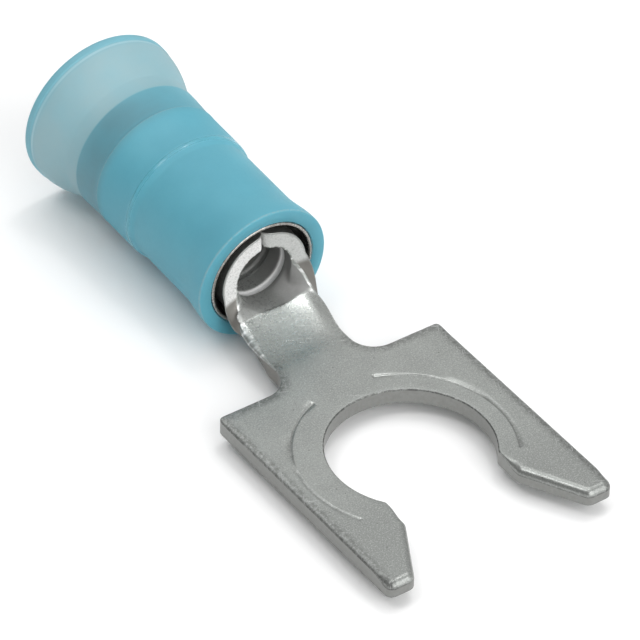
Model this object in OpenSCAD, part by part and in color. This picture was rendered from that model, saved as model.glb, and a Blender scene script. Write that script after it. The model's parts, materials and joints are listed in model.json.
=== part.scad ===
// Locking fork terminal with a translucent insulating sleeve and a funnel-shaped wire entry.
// Frame: the origin is the centre of the stud hole on the underside of the tongue, +Z is up out of
// the tongue, +Y runs to the wire entry and the fork opens towards -Y. All lengths are millimetres.
// The terminal is one stamped and rolled piece. A thin metal sleeve is drawn down onto its barrel,
// opens out again behind it to take the wire's insulation, and carries the outer sleeve.

/* [Strip] */
// Thickness of the strip that the terminal is stamped from
stock_t = 0.7; // [0.5:0.05:0.9]
// Rolled-over edge left by the punch along the fork's upper edges
edge_roll = 0.12; // [0.05:0.01:0.2]

/* [Fork] */
// Diameter of the stud hole
stud_hole_d = 6.7; // [6:0.1:7.2]
// Width across the fork
fork_w = 10.5; // [9.8:0.1:12]
// Gap between the two locking lobes
lobe_gap = 5.3; // [4.6:0.1:5.8]
// Distance from the stud hole's centre to the front corners of the lobes
lobe_reach = 3.35; // [3:0.05:4]
// Distance from the stud hole's centre to the end of the tips
tip_reach = 5.95; // [5.2:0.05:8]
// Width of each tip at its end
tip_w = 1.15; // [0.8:0.05:1.6]
// Radius of the outer corner of each tip
tip_r = 0.35; // [0.1:0.05:0.6]
// Bevel coined on the upper edges of the tips
tip_bevel = 0.22; // [0.1:0.02:0.4]
// Distance from the stud hole's centre to the rear shoulder of the fork
shoulder_reach = 5.45; // [4.8:0.05:6.2]

/* [Coined arcs] */
// Distance from the stud hole's edge to the middle of the arcs coined around it
coin_offset = 1.05; // [0.7:0.05:1.3]
// Sideways shift of the coined arcs from the stud hole
coin_shift = -0.25; // [-0.3:0.05:0.3]
// Width of the coined groove
coin_w = 0.22; // [0.1:0.02:0.4]
// Depth of the coined groove
coin_depth = 0.07; // [0.03:0.01:0.15]
// Angle from the long axis at which each arc starts
coin_start = 18; // [10:1:40]
// Angle that each arc covers
coin_span = 100; // [60:1:120]

/* [Neck] */
// Width of the flat neck
neck_w = 3.56; // [3.2:0.02:5]
// Width of the neck's blank where it meets the barrel
cheek_w = 3.64; // [3.2:0.02:5]
// Sideways shift of the neck's middle where it meets the barrel
neck_shift = 0.3; // [-0.4:0.05:0.4]
// Fillet between the neck and the shoulder
neck_fillet = 1.1; // [0.5:0.05:1.6]
// Length of flat neck behind that fillet, before its floor starts to climb
climb_lead = 0.35; // [0.1:0.05:0.6]
// Distance from the stud hole's centre to the crease at the top of the climb
crease_y = 9.33; // [9:0.01:9.6]
// Distance from the stud hole's centre to where the neck's sides start to curl up
curl_y = 7.4; // [7:0.05:8.5]
// Half width over which the neck's floor stays flat across
flat_half = 0.8; // [0.5:0.05:1.2]
// Distance from the neck's middle at which its sides curl freely
side_half = 1.9; // [1.5:0.05:2.4]
// Fillet between the neck's curled edges and the front end of the barrel
mouth_fillet = 0.8; // [0.4:0.05:1.2]

/* [Barrel] */
// Distance from the stud hole's centre to the front end of the barrel
barrel_y = 9.95; // [9.6:0.05:11]
// Bore of the wire barrel
barrel_bore_d = 2.56; // [2:0.02:3]
// Length of the wire barrel
barrel_len = 4.9; // [4:0.1:6.5]
// Height of the bore's floor above the tongue's upper face at the front end of the barrel
barrel_rise = 0.39; // [0.1:0.01:0.6]
// Angle that the barrel is bent up out of the tongue's plane
barrel_pitch = 3; // [0:0.5:6]
// Distance from the front end of the barrel to where its floor is fully round
roll_len = 0.35; // [0.25:0.05:1]
// Gap of the butt seam along the top of the barrel
seam_gap = 0.06; // [0.03:0.01:0.15]
// Number of serration grooves inside the barrel
serration_count = 3; // [1:1:3]
// Distance from one serration groove to the next
serration_pitch = 1.0; // [0.7:0.05:1.1]
// Distance from the start of the round bore to the first serration groove
serration_lead = 0.2; // [0.05:0.05:0.4]
// Width of a serration groove
serration_w = 0.2; // [0.1:0.05:0.4]
// Depth of a serration groove
serration_depth = 0.08; // [0.04:0.01:0.15]
// Bevel at the barrel's wire entry
entry_bevel = 0.2; // [0.1:0.05:0.35]

/* [Support sleeve] */
// Wall of the metal support sleeve
sleeve_wall = 0.16; // [0.1:0.01:0.25]
// Radial clearance between the drawn-down sleeve and the barrel
grip_clearance = 0.02; // [0.01:0.01:0.05]
// How far the sleeve's open ends stand off the drawn-down part
sleeve_open = 0.24; // [0.15:0.01:0.35]
// Distance that the barrel stands out in front of the sleeve
barrel_proud = 0.15; // [0.05:0.05:0.4]
// Length of the open front end
bell_len = 1.7; // [1:0.05:2.2]
// Length over which the sleeve opens out behind the barrel
step_len = 0.5; // [0.3:0.05:0.8]
// Length of the straight part that holds the wire's insulation
support_len = 2.15; // [1.5:0.05:3.5]
// Length of the flared rear end
flare_len = 1.45; // [0.8:0.05:2]
// How far the rear edge flares out
flare_out = 0.05; // [0.02:0.01:0.1]

/* [Insulating sleeve] */
// Radial clearance between the insulating sleeve and the support sleeve
fit_clearance = 0.02; // [0.01:0.01:0.05]
// Wall around the support sleeve
skin_wall = 0.545; // [0.4:0.005:0.8]
// Wall over the drawn-down part
grip_wall = 0.645; // [0.4:0.005:0.9]
// Extra radius of the bead at the front end
bead_out = 0.025; // [0:0.005:0.1]
// Distance from the front face to the top of the bead
bead_s = 0.13; // [0.1:0.01:0.4]
// Length of the straight throat behind the support sleeve
throat_len = 0.7; // [0.4:0.05:1.2]
// Length of the funnel
funnel_len = 2.3; // [1.6:0.05:3.5]
// Radius by which the funnel stands out from the sleeve
funnel_out = 0.55; // [0.3:0.05:0.9]
// Length of the funnel's straight rim
rim_len = 0.4; // [0.2:0.05:0.8]
// Wall of the funnel's rim
rim_wall = 0.3; // [0.2:0.05:0.5]
// Rounding of the funnel's rim
rim_r = 0.1; // [0.05:0.01:0.14]

/* [Hidden] */
$fn = 96;

// Extra reach of cutting shapes past the faces they cut
over = 1;
// Rows of facets across each half of the rolled neck
rows = 18;
// Sections of the neck up to its crease, on to the barrel's end, along that end and behind it
climb_steps = 8;
curl_steps = 8;
end_steps = 8;
roll_steps = 4;
// Powers with which the floor's climb and the sides' curl grow
climb_power = 1.6;
curl_power = 4.2;
// Steps of a curved stretch of a revolved profile
profile_steps = 10;
// Steps of a rounded corner
corner_steps = 6;
// Length over which the blank widens from the neck's fillet to the full barrel
blank_step = 0.08;
// How far the rolled neck runs into the barrel's wall, and how far it stays under the wall's faces
root_len = 0.25;
root_in = 0.02;

hole_r = stud_hole_d / 2;
coin_r = hole_r + coin_offset;
half_w = fork_w / 2;
lobe_x = lobe_gap / 2;
bore_r = barrel_bore_d / 2;
barrel_r = bore_r + stock_t;
mid_r = bore_r + stock_t / 2;
axis_z = stock_t + barrel_rise + bore_r;
rolled_y = barrel_y + roll_len;
neck_half = neck_w / 2;
cheek_half = cheek_w / 2;
climb_y = shoulder_reach + neck_fillet + climb_lead;
mouth_y = barrel_y - mouth_fillet;
full_half = PI * mid_r - seam_gap / 2;

// Radii of the support sleeve's inside and of the insulating sleeve's pocket
grip_r = barrel_r + grip_clearance;
open_r = grip_r + sleeve_open;
flare_r = open_r + flare_out;
pocket_gap = sleeve_wall + fit_clearance;
throat_r = open_r;

// Stations along the barrel axis, counted from the sleeves' front faces
bell_s = bell_len;
grip_s = barrel_len - barrel_proud;
support_s = grip_s + step_len;
flare_s = support_s + support_len;
sleeve_s = flare_s + flare_len;
throat_s = sleeve_s + throat_len;
skin_s = throat_s + funnel_len;

// Outer radii of the insulating sleeve
skin_grip_r = grip_r + pocket_gap + grip_wall;
skin_r = open_r + pocket_gap + skin_wall;
skin_rear_r = skin_r + flare_out;
bead_r = skin_r + bead_out;
funnel_r = skin_rear_r + funnel_out;
funnel_bell = funnel_len - rim_len;

// Smooth step from 0 to 1
function ease(u) = let (v = min(1, max(0, u))) v * v * (3 - 2 * v);
function mix(a, b, u) = a * (1 - u) + b * u;

// Points of an S-shaped stretch of a revolved profile, from [s, r] to [s, r]
function blend(from, to) =
  [for (i = [0:profile_steps]) let (u = i / profile_steps)
    [mix(from[0], to[0], u), mix(from[1], to[1], ease(u))]];

// Height of the barrel's axis at a place along the tongue
function axis_at(y) = axis_z + (y - barrel_y) * tan(barrel_pitch);

// Share of the way from one place along the neck to another
function way(y, from, to) = min(1, max(0, (y - from) / (to - from)));

// Sideways shift of the neck's middle at a place along it
function shift_at(y) = neck_shift * ease(way(y, climb_y, mouth_y));

// Distance of the flat blank's edge from the centre line, on the right (1) or the left (-1)
function blank_edge(y, hand) =
  let (u = y - mouth_y)
  let (root = cheek_half + hand * neck_shift + mouth_fillet)
  y >= barrel_y ? mix(root, full_half, min(1, (y - barrel_y) / blank_step))
  : u > 0 ? root - sqrt(mouth_fillet * mouth_fillet - u * u)
  : mix(neck_half, cheek_half, ease(way(y, climb_y, mouth_y))) + hand * shift_at(y);

// Circle arc across the strip with a share of the barrel's curvature, lifted by a share of its rise
function bent(s, y, share, lift) =
  let (floor = mix(stock_t / 2, axis_at(y) - mid_r, lift))
  let (k = share / mid_r)
  let (turn = k * s * 180 / PI)
  share < 0.001 ? [s, floor] : [sin(turn) / k, floor + (1 - cos(turn)) / k];

// Middle of the strip at a signed distance from its centre line. The floor climbs to the crease, flat
// across, and curls only behind it. The sides curl on their own, and the strip blends the two.
function strip_point(s, y) =
  let (curl = pow(way(y, curl_y, barrel_y), curl_power))
  let (climb = pow(way(y, climb_y, crease_y), climb_power))
  let (late = way(y, crease_y, rolled_y))
  let (side = ease((abs(s - shift_at(y)) - flat_half) / (side_half - flat_half)))
  mix(bent(s, y, late, climb), bent(s, y, curl, curl), side);

// Unit normal of the strip's section, pointing to its inner side
function strip_normal(s, y) =
  let (d = 0.01)
  let (t = strip_point(s + d, y) - strip_point(s - d, y))
  [-t[1], t[0]] / norm(t);

// One closed section of the strip: the outer side from left to right, then the inner side back
function strip_section(y, thick) =
  let (left = -blank_edge(y, -1))
  let (right = blank_edge(y, 1))
  let (stations = [for (j = [0:2 * rows]) mix(left, right, j / (2 * rows))])
  let (side = [for (s = stations) strip_normal(s, y) * thick / 2])
  let (mid = [for (s = stations) strip_point(s, y)])
  let (last = len(stations) - 1)
  concat(
    [for (j = [0:last]) let (p = mid[j] - side[j]) [p[0], y, p[1]]],
    [for (j = [last:-1:0]) let (p = mid[j] + side[j]) [p[0], y, p[1]]]);

// Arc of an outline about a centre
function arc(centre, r, from, to) =
  [for (i = [0:corner_steps]) let (a = mix(from, to, i / corner_steps)) centre + r * [cos(a), sin(a)]];

// The right half of the fork's outline, from the neck round the tip to the mouth inside the hole
function fork_half() = concat(
  [[neck_half, climb_y]],
  arc([neck_half + neck_fillet, shoulder_reach + neck_fillet], neck_fillet, 180, 270),
  [[half_w, shoulder_reach]],
  arc([half_w - tip_r, -tip_reach + tip_r], tip_r, 0, -90),
  [[half_w - tip_w, -tip_reach], [lobe_x, -lobe_reach], [lobe_x, 0]]);

function mirrored(points) = [for (i = [len(points) - 1:-1:0]) [-points[i][0], points[i][1]]];

// Closed solid through a list of sections with equal counts, where each section is a flat band
module band_loft(sections) {
  n = len(sections[0]);
  last = len(sections) - 1;
  half = n / 2;
  sides = [for (i = [0:last - 1], j = [0:n - 1], k = [0:1])
    let (a = i * n + j, b = i * n + (j + 1) % n)
    k == 0 ? [a, b, b + n] : [a, b + n, a + n]];
  caps = [for (j = [0:half - 2], k = [0:1])
    let (a = j, b = j + 1, c = n - 2 - j, d = n - 1 - j)
    k == 0 ? [a, d, c, b] : [a, b, c, d] + last * n * [1, 1, 1, 1]];
  polyhedron([for (section = sections) each section], concat(sides, caps));
}

// The neck where the flat strip climbs and rolls up into the round barrel
module rolled_neck() {
  climb = [for (i = [0:climb_steps]) mix(climb_y, crease_y, i / climb_steps)];
  curl = [for (i = [1:curl_steps]) mix(crease_y, barrel_y, sin(90 * i / curl_steps))];
  end = [for (i = [1:end_steps - 1]) barrel_y + blank_step * i / end_steps];
  roll = [for (i = [0:roll_steps]) mix(barrel_y + blank_step, rolled_y, i / roll_steps)];
  band_loft(concat(
    [for (y = concat(climb, curl, end)) strip_section(y, stock_t)],
    [for (y = roll) strip_section(y, mix(stock_t, stock_t - 2 * root_in, ease((y - barrel_y) / roll_len)))],
    [strip_section(rolled_y + root_len, stock_t - 2 * root_in)]));
}

// Wedge that takes the upper edge off along a straight side of the fork, between two outline points
module edge_cut(from, to, size) {
  run = to - from;
  translate([from[0], from[1], stock_t])
    rotate([0, 0, atan2(run[1], run[0])])
      translate([-size, 0, 0])
        rotate([45, 0, 0])
          translate([0, -size * sqrt(2), -size / sqrt(2)])
            cube([norm(run) + 2 * size, 2 * size * sqrt(2), size * sqrt(2)]);
}

// Upper edges of one leg that the punch and the coining tool leave bevelled
module leg_edges() {
  outer_rear = [half_w, shoulder_reach];
  outer_tip = [half_w, -tip_reach];
  inner_tip = [half_w - tip_w, -tip_reach];
  lobe = [lobe_x, -lobe_reach];
  edge_cut(outer_tip, outer_rear, edge_roll);
  edge_cut(inner_tip, outer_tip, tip_bevel);
  edge_cut(lobe, inner_tip, tip_bevel);
}

// One shallow arc coined into the tongue's upper face on the right of the stud hole
module coined_arc() {
  translate([0, 0, stock_t])
    rotate([0, 0, 90 - coin_start - coin_span])
      rotate_extrude(angle = coin_span)
        polygon([[coin_r - coin_w / 2, 0], [coin_r - coin_w / 2, over],
          [coin_r + coin_w / 2, over], [coin_r + coin_w / 2, 0], [coin_r, -coin_depth]]);
}

// The flat tongue: fork, locking lobes, shoulder and the start of the neck
module tongue() {
  right = fork_half();
  difference() {
    linear_extrude(stock_t)
      polygon(concat(right, mirrored(right)));
    translate([0, 0, -over])
      cylinder(h = stock_t + 2 * over, r = hole_r);
    for (side = [0, 1])
      mirror([side, 0, 0]) leg_edges();
    translate([coin_shift, 0, 0])
      for (side = [0, 1])
        mirror([side, 0, 0]) coined_arc();
  }
}

// Places children with +Z along the barrel's axis and the origin at the barrel's front end
module on_barrel() {
  translate([0, barrel_y, axis_z])
    rotate([barrel_pitch - 90, 0, 0])
      children();
}

// Solid of revolution about the barrel's axis from [station, radius] points
module revolved(points) {
  on_barrel()
    translate([0, 0, barrel_proud])
      rotate_extrude()
        polygon([for (p = points) [p[1], p[0]]]);
}

// One stamped and rolled piece: tongue, neck and butt-seamed wire barrel
module terminal() {
  color([0.74, 0.75, 0.73])
    difference() {
      union() {
        tongue();
        rolled_neck();
        on_barrel()
          translate([0, 0, roll_len])
            difference() {
              cylinder(h = barrel_len - roll_len, r = barrel_r);
              translate([0, 0, -over])
                cylinder(h = barrel_len + over, r = bore_r);
            }
      }
      on_barrel() {
        translate([-seam_gap / 2, -barrel_r - over, roll_len])
          cube([seam_gap, barrel_r + over, barrel_len]);
        for (i = [0:serration_count - 1])
          translate([0, 0, roll_len + serration_lead + i * serration_pitch])
            cylinder(h = serration_w, r = bore_r + serration_depth);
        translate([0, 0, barrel_len - entry_bevel])
          cylinder(h = 2 * entry_bevel, r1 = bore_r, r2 = bore_r + 2 * entry_bevel);
      }
    }
}

// Inside of the support sleeve, grown outwards by a gap
function sleeve_line(gap) = concat(
  blend([0, open_r + gap], [bell_s, grip_r + gap]),
  blend([grip_s, grip_r + gap], [support_s, open_r + gap]),
  blend([flare_s, open_r + gap], [sleeve_s, flare_r + gap]));

function reversed(points) = [for (i = [len(points) - 1:-1:0]) points[i]];

// Thin metal sleeve: open in front, drawn down onto the barrel, open behind for the insulation
module support_sleeve() {
  color([0.80, 0.79, 0.76])
    revolved(concat(sleeve_line(0), reversed(sleeve_line(sleeve_wall))));
}

// Translucent outer sleeve with a front bead, a drawn-down waist, a throat and a funnel
module nylon_sleeve() {
  seat_s = sleeve_s + fit_clearance;
  inside = concat(
    sleeve_line(pocket_gap),
    [[seat_s, flare_r + pocket_gap], [seat_s, throat_r], [throat_s, throat_r]]);
  mouth_r = funnel_r - rim_wall;
  rim = concat(
    arc([skin_s - rim_r, mouth_r + rim_r], rim_r, -90 + atan((mouth_r - throat_r) / funnel_len), 0),
    arc([skin_s - rim_r, funnel_r - rim_r], rim_r, 0, 90));
  funnel = [for (i = [profile_steps:-1:0]) let (u = i / profile_steps)
    [throat_s + funnel_bell * u, mix(skin_rear_r, funnel_r, sin(90 * u))]];
  body = reversed(concat(
    blend([bead_s, bead_r], [bell_s, skin_grip_r]),
    blend([grip_s, skin_grip_r], [support_s, skin_r]),
    blend([flare_s, skin_r], [sleeve_s, skin_rear_r])));
  face = arc([bead_s, bead_r - bead_s], bead_s, 90, 180);
  color([0.36, 0.70, 0.80])
    revolved(concat(inside, rim, funnel, body, face));
}

terminal();
support_sleeve();
nylon_sleeve();
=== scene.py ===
"""Locking fork terminal: formed strip, support sleeve and nylon sleeve with finishes, on a pale stage.

Lengths are worked out in millimetres and put into the meshes in metres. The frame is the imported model's:
the origin is the stud hole's centre on the tongue's underside, +Z is up and +Y runs to the wire entry.
"""

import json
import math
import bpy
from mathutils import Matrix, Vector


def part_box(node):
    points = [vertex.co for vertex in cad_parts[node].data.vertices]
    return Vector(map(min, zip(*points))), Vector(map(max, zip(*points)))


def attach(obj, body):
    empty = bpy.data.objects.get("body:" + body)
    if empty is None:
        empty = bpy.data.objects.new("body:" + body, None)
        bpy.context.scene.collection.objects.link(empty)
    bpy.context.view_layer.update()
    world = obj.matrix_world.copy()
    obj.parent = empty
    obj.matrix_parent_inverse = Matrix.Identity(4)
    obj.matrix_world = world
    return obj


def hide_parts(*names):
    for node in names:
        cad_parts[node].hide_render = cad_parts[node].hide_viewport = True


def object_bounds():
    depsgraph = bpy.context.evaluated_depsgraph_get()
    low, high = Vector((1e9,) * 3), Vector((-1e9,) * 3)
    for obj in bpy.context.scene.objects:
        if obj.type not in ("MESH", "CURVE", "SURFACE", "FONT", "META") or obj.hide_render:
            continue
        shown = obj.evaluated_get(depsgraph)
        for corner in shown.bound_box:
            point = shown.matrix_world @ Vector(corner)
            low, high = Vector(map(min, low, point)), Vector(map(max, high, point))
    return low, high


bl_info = {
    "name": "Fork terminal",
    "version": (1, 0, 0),
    "blender": (4, 5, 0),
    "location": "View3D > Sidebar > Terminal",
    "description": "Builds a locking fork terminal with a translucent nylon sleeve",
    "category": "Add Mesh",
}

from types import SimpleNamespace

import bpy
import numpy as np
from bpy.props import FloatProperty, FloatVectorProperty, IntProperty, PointerProperty
from mathutils import Matrix, Vector

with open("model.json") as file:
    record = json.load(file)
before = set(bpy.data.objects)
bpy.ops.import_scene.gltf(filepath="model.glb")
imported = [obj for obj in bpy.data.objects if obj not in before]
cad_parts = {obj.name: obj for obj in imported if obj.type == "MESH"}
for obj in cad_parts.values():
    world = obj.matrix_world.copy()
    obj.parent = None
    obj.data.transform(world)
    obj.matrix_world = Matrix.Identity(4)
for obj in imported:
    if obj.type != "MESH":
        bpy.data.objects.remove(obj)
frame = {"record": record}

MM = 0.001
CAD_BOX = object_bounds()
MOUNTS = {mount["name"]: mount for mount in frame["record"]["mounts"]}
STUD = MOUNTS["stud_hole"]
BORE = MOUNTS["wire_barrel"]
SUPPORT = MOUNTS["insulation_support"]
STRIP_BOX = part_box("terminal")
NYLON_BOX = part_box("nylon_sleeve")


# Properties

def length(label, text, millimetres):
    """A length property whose default is given in millimetres."""
    return FloatProperty(name=label, description=text, default=millimetres * MM, unit="LENGTH", precision=5)


def angle(label, text, degrees):
    """An angle property whose default is given in degrees."""
    return FloatProperty(name=label, description=text, default=math.radians(degrees), subtype="ANGLE")


def colour(label, text, rgb):
    """A colour property in linear light."""
    return FloatVectorProperty(name=label, description=text, default=rgb, subtype="COLOR", min=0.0, max=1.0)


def factor(label, text, value):
    """A plain number property."""
    return FloatProperty(name=label, description=text, default=value)


class ForkSizes(bpy.types.PropertyGroup):
    """Sizes of the flat tongue and of the edges that stamping leaves on it."""

    strip: length("Strip", "Thickness of the strip", STUD["dims"]["length_mm"])
    hole_radius: length("Hole radius", "Radius of the stud hole", STUD["dims"]["r_mm"])
    width: length("Width", "Width across the fork", (STRIP_BOX[1].x - STRIP_BOX[0].x) / MM)
    tip_reach: length("Tip reach", "Hole centre to the end of the tips", -STRIP_BOX[0].y / MM)
    tip_width: length("Tip width", "Width of each tip at its end", 1.15)
    tip_corner: length("Tip corner", "Radius of each tip's outer corner", 0.32)
    lobe_gap: length("Lobe gap", "Gap between the locking lobes", 5.3)
    lobe_reach: length("Lobe reach", "Hole centre to the lobes' front corners", 3.35)
    shoulder_reach: length("Shoulder reach", "Hole centre to the rear shoulder", 5.45)
    shoulder_round: length("Shoulder corner", "Radius of the shoulder's outer corners", 0.15)
    neck_width: length("Neck width", "Width of the flat neck at its narrowest", 3.56)
    neck_shift: length("Neck shift", "Sideways shift of the neck where it meets the barrel", 0.3)
    neck_fillet: length("Neck fillet", "Fillet between neck and shoulder", 1.1)
    hole_roll: length("Hole edge", "Rolled edge of the hole and the shoulder", 0.05)
    neck_roll: length("Neck edge", "Rolled edge of the neck", 0.09)
    side_roll: length("Side edge", "Rolled edge of the outer sides", 0.30)
    side_fall: length("Side fall", "How far the rolled-over outer sides drop", 0.10)
    tip_roll: length("Tip edge", "Coined edge of the tips and of the lobes' front", 0.3)
    foot_roll: length("Lower edge", "Rounding of the lower edges", 0.03)
    burr: length("Burr", "Height of the burr along the neck's edges", 0.025)
    coin_radius: length("Coined arc radius", "Radius of the arcs coined beside the hole", 4.4)
    coin_shift: length("Coined arc shift", "Sideways shift of the coined arcs", -0.25)
    coin_width: length("Coined arc width", "Width of the coined groove at its start", 0.24)
    coin_thin: length("Coined arc thin width", "Width of the coined groove along the rest of it", 0.12)
    coin_depth: length("Coined arc depth", "Depth of the coined groove", 0.06)
    coin_start: angle("Coined arc start", "Angle from the long axis to each arc's start", 18)
    coin_span: angle("Coined arc span", "Angle that each arc covers", 105)


class BarrelSizes(bpy.types.PropertyGroup):
    """Sizes of the neck's roll into the barrel."""

    curl_y: length("Curl start", "Hole centre to where the neck starts to curl", 7.4)
    climb_y: length("Climb start", "Hole centre to where the neck's floor starts to climb", 6.9)
    crease_y: length("Crease", "Hole centre to the crease at the top of the climb", 9.33)
    cheek_half: length("Cheek half width", "Half width of the neck's blank at the mouth's fillet", 1.82)
    front_y: length("Barrel front", "Hole centre to the barrel's front end", 9.95)
    roll_length: length("Roll length", "Barrel's front to where its floor is fully round", 0.35)
    barrel_length: length("Barrel length", "Length of the wire barrel", 4.9)
    flat_half: length("Right floor half", "Neck's middle to where its floor gives way on the right", 1.1)
    flat_left: length("Left floor half", "Neck's middle to where its floor gives way on the left", 1.72)
    side_half: length("Side distance", "Neck's middle to where its sides curl freely", 1.9)
    mouth_fillet: length("Mouth fillet", "Fillet between the neck's edges and the barrel", 0.8)
    seam_gap: length("Seam gap", "Gap of the butt seam", 0.06)
    seam_notch: length("Seam notch", "Corner taken off at the seam's front end", 0.2)
    groove_lead: length("First serration", "Start of the round bore to the first groove", 0.2)
    groove_pitch: length("Serration pitch", "Distance between grooves", 1.0)
    groove_width: length("Serration width", "Width of a groove", 0.2)
    groove_depth: length("Serration depth", "Depth of a groove", 0.08)
    entry_bevel: length("Entry bevel", "Bevel at the barrel's wire entry", 0.2)
    grooves: IntProperty(name="Serrations", description="Number of grooves in the bore", default=3)


class SleeveSizes(bpy.types.PropertyGroup):
    """Sizes of the metal support sleeve and of the nylon sleeve around it."""

    grip_radius: length("Grip radius", "Inside radius where the sleeve is drawn down", 2.0)
    open_radius: length("Open radius", "Inside radius of the open ends", SUPPORT["dims"]["r_mm"])
    flare_radius: length("Flare radius", "Inside radius of the rear edge", 2.29)
    wall: length("Sleeve wall", "Wall of the metal sleeve", 0.16)
    fit: length("Fit", "Clearance between the two sleeves", 0.02)
    proud: length("Barrel proud", "How far the barrel stands out in front", 0.15)
    bell: length("Bell", "Length of the open front end", 1.7)
    grip: length("Grip", "Front face to the end of the drawn-down part", 4.75)
    support: length("Support", "Front face to the straight insulation support", 5.25)
    flare: length("Flare", "Front face to the start of the flare", 7.4)
    rear: length("Sleeve end", "Front face to the metal sleeve's rear edge", 8.85)
    throat: length("Throat", "Front face to the start of the funnel", 9.55)
    funnel: length("Funnel end", "Front face to the funnel's rim", 11.85)
    rim: length("Rim", "Length of the funnel's straight rim", 0.4)
    rim_wall: length("Rim wall", "Wall of the funnel's rim", 0.3)
    rim_round: length("Rim rounding", "Rounding of the funnel's rim", 0.1)
    lip: length("Lip", "Step of the rim above the funnel", 0.03)
    ridge: length("Ridge", "Height of the fine ring where the flare starts", 0.02)
    skin_wall: length("Skin wall", "Nylon wall around the open sleeve", 0.545)
    grip_wall: length("Grip wall", "Nylon wall over the drawn-down part", 0.645)
    bead: length("Bead", "Extra radius of the front bead", 0.025)
    bead_round: length("Bead rounding", "Rounding of the front face's outer edge", 0.07)
    funnel_radius: length("Funnel radius", "Outside radius of the funnel", NYLON_BOX[1].x / MM)


class Finishes(bpy.types.PropertyGroup):
    """Colours of the three finishes."""

    tin: colour("Tin", "Satin tin plate", (0.37, 0.386, 0.369))
    tin_dull: colour("Dull tin", "Dull patches of the tin plate", (0.285, 0.297, 0.284))
    # Bright tin: burrs and scratches, and also the painted highlights on the crease and on the first
    # serration
    tin_bright: colour("Bright tin", "Burrs and scratches", (0.90, 0.905, 0.90))
    # Dark tin: pits and dull speckles, and also painted shade along the edges, on the outer sides' band and
    # in the coined grooves
    tin_dark: colour("Dark tin", "Edge lines, pits and dull speckles", (0.06, 0.06, 0.058))
    # Inside: painted shade inside the barrel behind the crease, and more faintly on its outside in the gap
    inside: colour("Inside", "Barrel's inside and, more faintly, its outside", (0.25, 0.25, 0.245))
    # Sheared: dull cut metal of the walls, partly painted shade
    sheared: colour("Sheared wall", "Cut walls of the strip", (0.20, 0.195, 0.188))
    # Bare metal and shade: brownish thin-plated metal on the neck's cut walls, darkened as painted shade
    # from the nylon sleeve
    bare_metal_and_shade: colour("Bare metal", "Cut walls along the neck, where the plating is thin", (0.15, 0.138, 0.125))
    # End face: the barrel's cut end, white as a painted highlight on its left half
    end_face_highlight: colour("End face", "Cut front end of the barrel", (0.80, 0.80, 0.79))
    bright: colour("Bright metal", "Support sleeve", (0.29, 0.276, 0.255))
    nylon: colour("Nylon", "Translucent sleeve", (0.155, 0.535, 0.655))
    nylon_deep: colour("Deep nylon", "Deeper clouds in the sleeve", (0.125, 0.465, 0.585))
    # Painted shade: the band over the metal's flare, the metal seen in shade through the nylon
    nylon_slate: colour("Slate nylon", "Band of the sleeve around the metal's flare", (0.15, 0.36, 0.43))
    # Painted light: the funnel paler where light comes through it with no metal under it, and painted
    # highlight lines on the bead and the ring line
    nylon_pale: colour("Pale nylon", "Funnel, where no metal lies under the nylon", (0.37, 0.55, 0.59))
    # Painted highlight: the light line inside the funnel's rim
    nylon_light: colour("Light nylon", "Line inside the funnel's rim", (0.56, 0.76, 0.80))


class StageSettings(bpy.types.PropertyGroup):
    """View, lamps and floor."""

    azimuth: angle("Azimuth", "Turn of the view from straight in front of the fork", -36.116)
    elevation: angle("Elevation", "Height of the view above the tongue's plane", 39.979)
    roll: angle("Roll", "Turn of the view about its own axis", 1.708)
    distance: length("Distance", "View point to the object", 192.3)
    across: length("Across", "Place of the view axis, to the right of the hole", -3.4925)
    upward: length("Upward", "Place of the view axis, above the hole", 4.851)
    pixel: length("Pixel size", "Size of one picture element at the hole", 1 / 26.066)
    floor: length("Floor size", "Side of the floor", 1200)
    floor_colour: colour("Floor", "Pale floor", (0.93, 0.93, 0.93))
    sky: factor("Sky", "Strength of the even light all round", 0.77)
    dim_sky: factor("Dim sky", "Strength of that light on its dim side", 0.38)
    spark: factor("Spark", "Power of the small lamp for the highlight on the neck in watts", 0.07)
    edge: factor("Edge lamp", "Power of the small lamp for the rolled edges in watts", 0.15)
    key: factor("Key lamp", "Power of the overhead lamp in watts", 0.34)
    front: factor("Front lamp", "Power of the lamp beside the view in watts", 0.6)


GROUPS = {
    "fork_sizes": ForkSizes,
    "barrel_sizes": BarrelSizes,
    "sleeve_sizes": SleeveSizes,
    "finishes": Finishes,
    "stage_settings": StageSettings,
}


def values(group):
    """The group's properties by name, with every length in millimetres."""
    found = SimpleNamespace()
    for prop in group.bl_rna.properties:
        if prop.identifier in ("rna_type", "name"):
            continue
        value = getattr(group, prop.identifier)
        if getattr(prop, "unit", "NONE") == "LENGTH":
            value = value / MM
        setattr(found, prop.identifier, value)
    return found


# Curves

def ease(u):
    """Smooth step 3u^2 - 2u^3 between 0 and 1, flat outside."""
    u = np.clip(u, 0.0, 1.0)
    return u * u * (3.0 - 2.0 * u)


def rise(distance, span):
    """Smooth step of a distance over a span (start, length)."""
    start, reach = span
    return ease((distance - start) / reach)


def mix(a, b, u):
    """Straight blend a + (b - a) u."""
    return a + (b - a) * u


def line(*points):
    """A polyline through points."""
    return np.array(points, float)


def arc(centre, radius, start, stop, count=64):
    """Circle arc: centre + radius (cos a, sin a), with a from start to stop in degrees."""
    a = np.radians(np.linspace(start, stop, count + 1))
    return np.array(centre) + radius * np.stack([np.cos(a), np.sin(a)], -1)


def evenly(points, count):
    """count + 1 points at equal steps of length along a polyline."""
    steps = np.linalg.norm(np.diff(points, axis=0), axis=1)
    along = np.concatenate([[0.0], np.cumsum(steps)])
    want = np.linspace(0.0, along[-1], count + 1)
    return np.stack([np.interp(want, along, points[:, k]) for k in (0, 1)], -1)


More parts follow.
